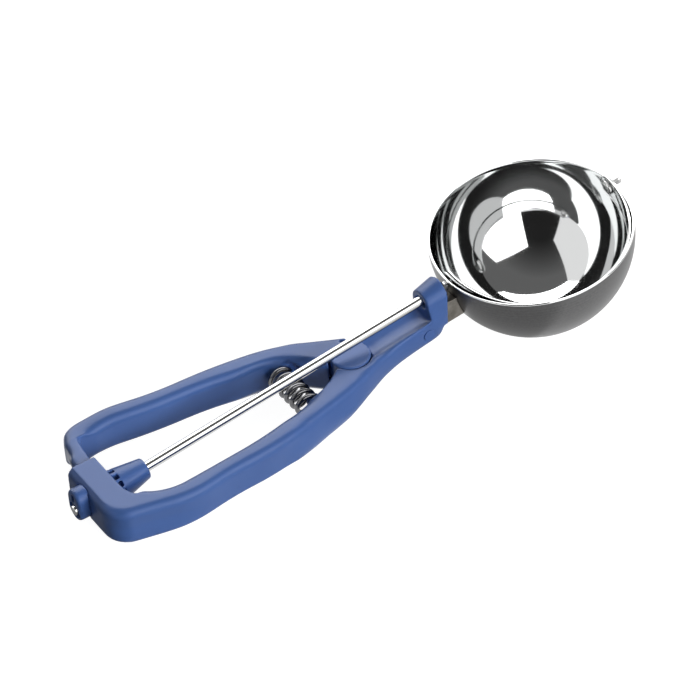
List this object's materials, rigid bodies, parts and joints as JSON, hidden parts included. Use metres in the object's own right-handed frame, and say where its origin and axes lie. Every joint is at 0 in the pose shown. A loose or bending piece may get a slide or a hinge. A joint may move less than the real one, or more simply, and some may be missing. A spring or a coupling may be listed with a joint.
{
  "type": "lever ice cream scoop",
  "caption": "Portion scoop with a half-round steel bowl, a rack-driven scraper blade and a sprung squeeze lever beside a moulded handle.",
  "frame": {"origin": "centre of the bowl's rim plane", "axes": "+Z out of the bowl, +X along the drive rod away from the handle, +Y towards the lever"},
  "size_m": [0.1919, 0.061, 0.0375],
  "materials": {
    "bowl_steel": "mirror inside, fine satin outside",
    "shank_steel": "satin",
    "pin_steel": "satin",
    "bush_plastic": "matte",
    "blue_plastic": "satin moulded",
    "spring_steel": "drawn wire",
    "rod_steel": "polished",
    "gear_steel": "machined",
    "blade_steel": "polished"
  },
  "bodies": {
    "base": {"bowl": "bowl_steel", "bowl_shank": "shank_steel", "shank_pin": "blue_plastic", "rod_bush": "bush_plastic", "far_pivot_rivet": "pin_steel", "hub_cone": "blue_plastic", "rear_bearing_cap": "blue_plastic", "fixed_handle": "blue_plastic", "pivot_pin": "pin_steel", "return_spring": "spring_steel"},
    "lever": {"lever_handle": "blue_plastic"},
    "rotor": {"drive_rod": "rod_steel", "drive_pinion": "gear_steel", "scraper_blade": "blade_steel", "blade_cap": "pin_steel", "rod_retaining_ring": "pin_steel"}
  },
  "joints": [
    {"name": "lever_hinge", "type": "hinge", "parent": "base", "child": "lever", "pos_m": [-0.0658, 0, -0.0055], "axis": [0.1253, 0, 0.9921], "range_deg": [0, 7.1], "stiffness_Nm_per_rad": 1.2, "springref_deg": -17.19, "deforming": ["return_spring"]},
    {"name": "rod_turn", "type": "hinge", "parent": "base", "child": "rotor", "pos_m": [0, 0, -0.0014], "axis": [1, 0, 0], "range_deg": [0, 168]}
  ],
  "couplings": [
    {"joint": "rod_turn", "follows": "lever_hinge", "ratio": 23.583}
  ]
}
